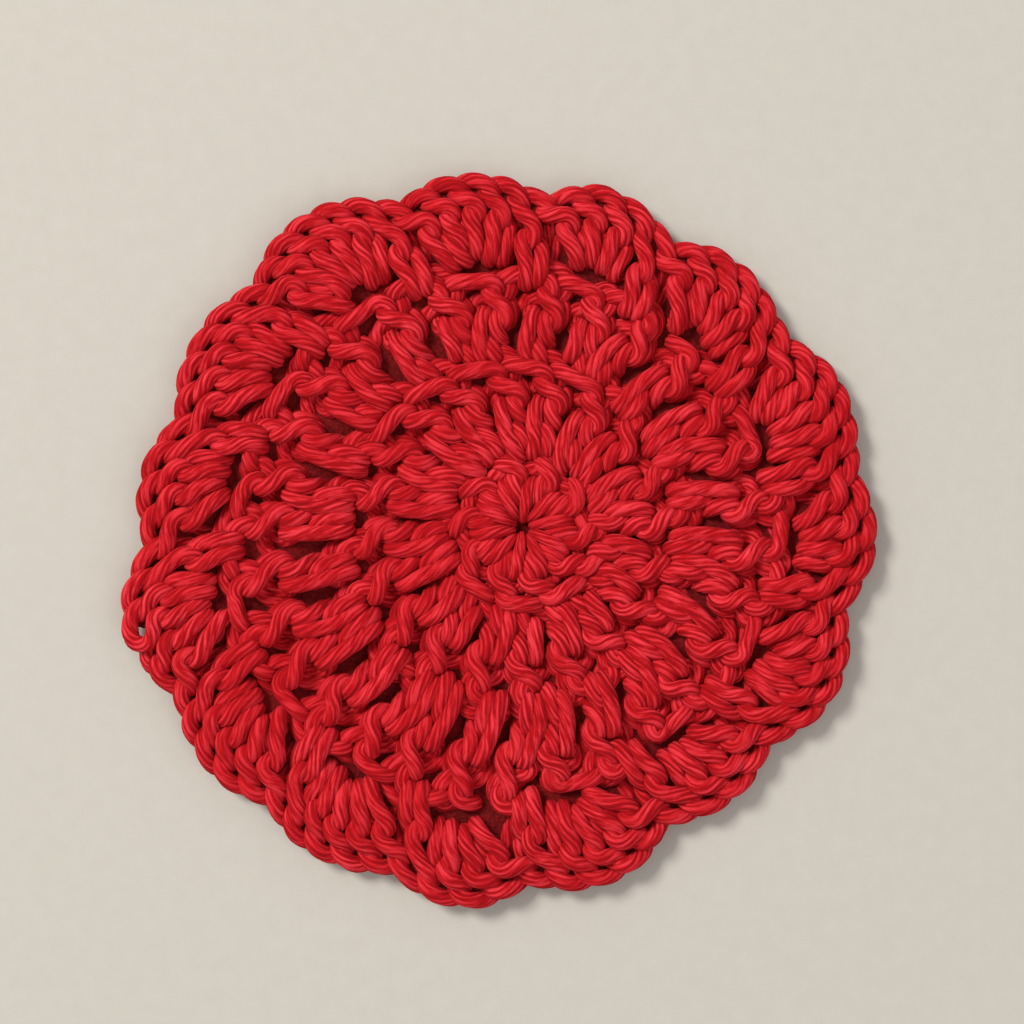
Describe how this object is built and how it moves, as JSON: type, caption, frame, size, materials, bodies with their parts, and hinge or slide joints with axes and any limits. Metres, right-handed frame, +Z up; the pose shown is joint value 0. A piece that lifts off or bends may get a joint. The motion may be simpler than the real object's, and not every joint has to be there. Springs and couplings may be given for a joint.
{
  "type": "crochet coaster",
  "caption": "Flat round crochet coaster worked from the centre out, with a scalloped edge; protects a table under a cup or glass.",
  "frame": {"origin": "centre of the scalloped outline's box, on the underside that rests on the table", "axes": "+Z up out of the right side of the crochet; +X to the right and +Y to the back as it lies, seen from above"},
  "size_m": [0.1106, 0.1076, 0.006],
  "materials": {
    "red_cotton_yarn": "matt, softly fuzzy plied cotton yarn in bright red"
  },
  "bodies": {
    "root": {"coaster": "red_cotton_yarn"}
  },
  "joints": []
}
